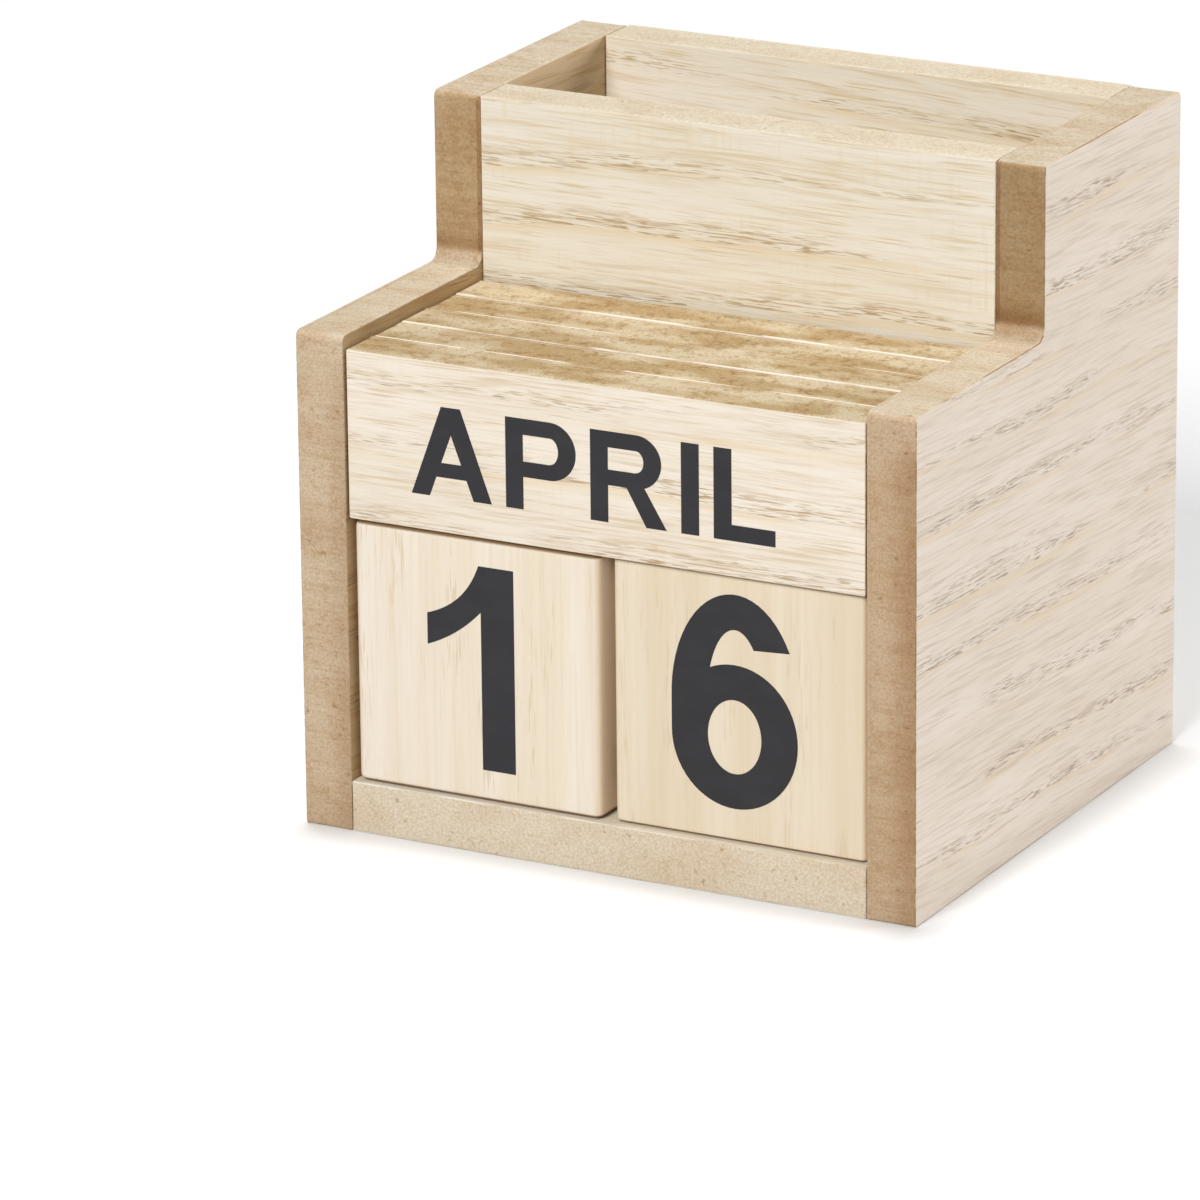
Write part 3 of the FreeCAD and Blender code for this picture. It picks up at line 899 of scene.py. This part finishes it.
class CALENDAR_OT_studio(bpy.types.Operator):
    """Set up the floor, the lamps and the camera"""
    bl_idname = "calendar.studio"
    bl_label = "Studio"

    def execute(self, context):
        scene, studio = context.scene, context.scene.calendar_studio
        half = 3.0
        corners = np.array([(-half, -half, 0), (half, -half, 0), (half, half, 0), (-half, half, 0)])
        floor = new_piece("studio_floor", corners, [[0, 1, 2, 3]], white_card())
        scene.world = even_sky(studio.sky)
        for name, place, size, colour, share in LAMPS:
            lamp = bpy.data.lights.new(name, "AREA")
            lamp.shape, lamp.size = "SQUARE", size
            lamp.color = linear(colour)[:3]
            # A lamp of power P at distance d shows colours at P / (pi d)^2 of what is written.
            lamp.energy = studio.key * share * math.pi ** 2 * Vector(place).length_squared
            holder = bpy.data.objects.new(name, lamp)
            holder.matrix_world = (Matrix.Translation(place)
                                   @ Vector(place).to_track_quat("Z", "Y").to_matrix().to_4x4())
            scene.collection.objects.link(holder)
        scene.camera = product_camera(scene)
        scene.view_settings.view_transform = "Standard"
        return {"FINISHED"}


class CALENDAR_PT_steps(bpy.types.Panel):
    """The calendar's settings and steps"""
    bl_label = "Desk Calendar"
    bl_idname = "CALENDAR_PT_steps"
    bl_space_type = "VIEW_3D"
    bl_region_type = "UI"
    bl_category = "Calendar"

    def draw(self, context):
        for group in SETTINGS:
            box = self.layout.box()
            settings = getattr(context.scene, group)
            for name in SETTINGS[group].__annotations__:
                box.prop(settings, name)
        for step in STEPS:
            self.layout.operator(step.bl_idname)


SETTINGS = {"calendar_boards": BoardSettings, "calendar_cubes": CubeSettings,
            "calendar_print": PrintSettings, "calendar_studio": StudioSettings}
STEPS = (CALENDAR_OT_cheeks, CALENDAR_OT_cross_boards, CALENDAR_OT_month_tiles,
         CALENDAR_OT_date_cubes, CALENDAR_OT_printing, CALENDAR_OT_studio)


def register():
    """Add the settings, the steps and the panel to Blender."""
    for kind in (*SETTINGS.values(), *STEPS, CALENDAR_PT_steps):
        bpy.utils.register_class(kind)
    for group, kind in SETTINGS.items():
        setattr(bpy.types.Scene, group, bpy.props.PointerProperty(type=kind))


def unregister():
    """Take them away again."""
    for group in SETTINGS:
        delattr(bpy.types.Scene, group)
    for kind in (CALENDAR_PT_steps, *STEPS[::-1], *SETTINGS.values()):
        bpy.utils.unregister_class(kind)


def main():
    """Add the settings and steps to Blender, then run every step in order."""
    register()
    for step in STEPS:
        group, name = step.bl_idname.split(".")
        getattr(getattr(bpy.ops, group), name)()


if __name__ == "__main__":
    main()
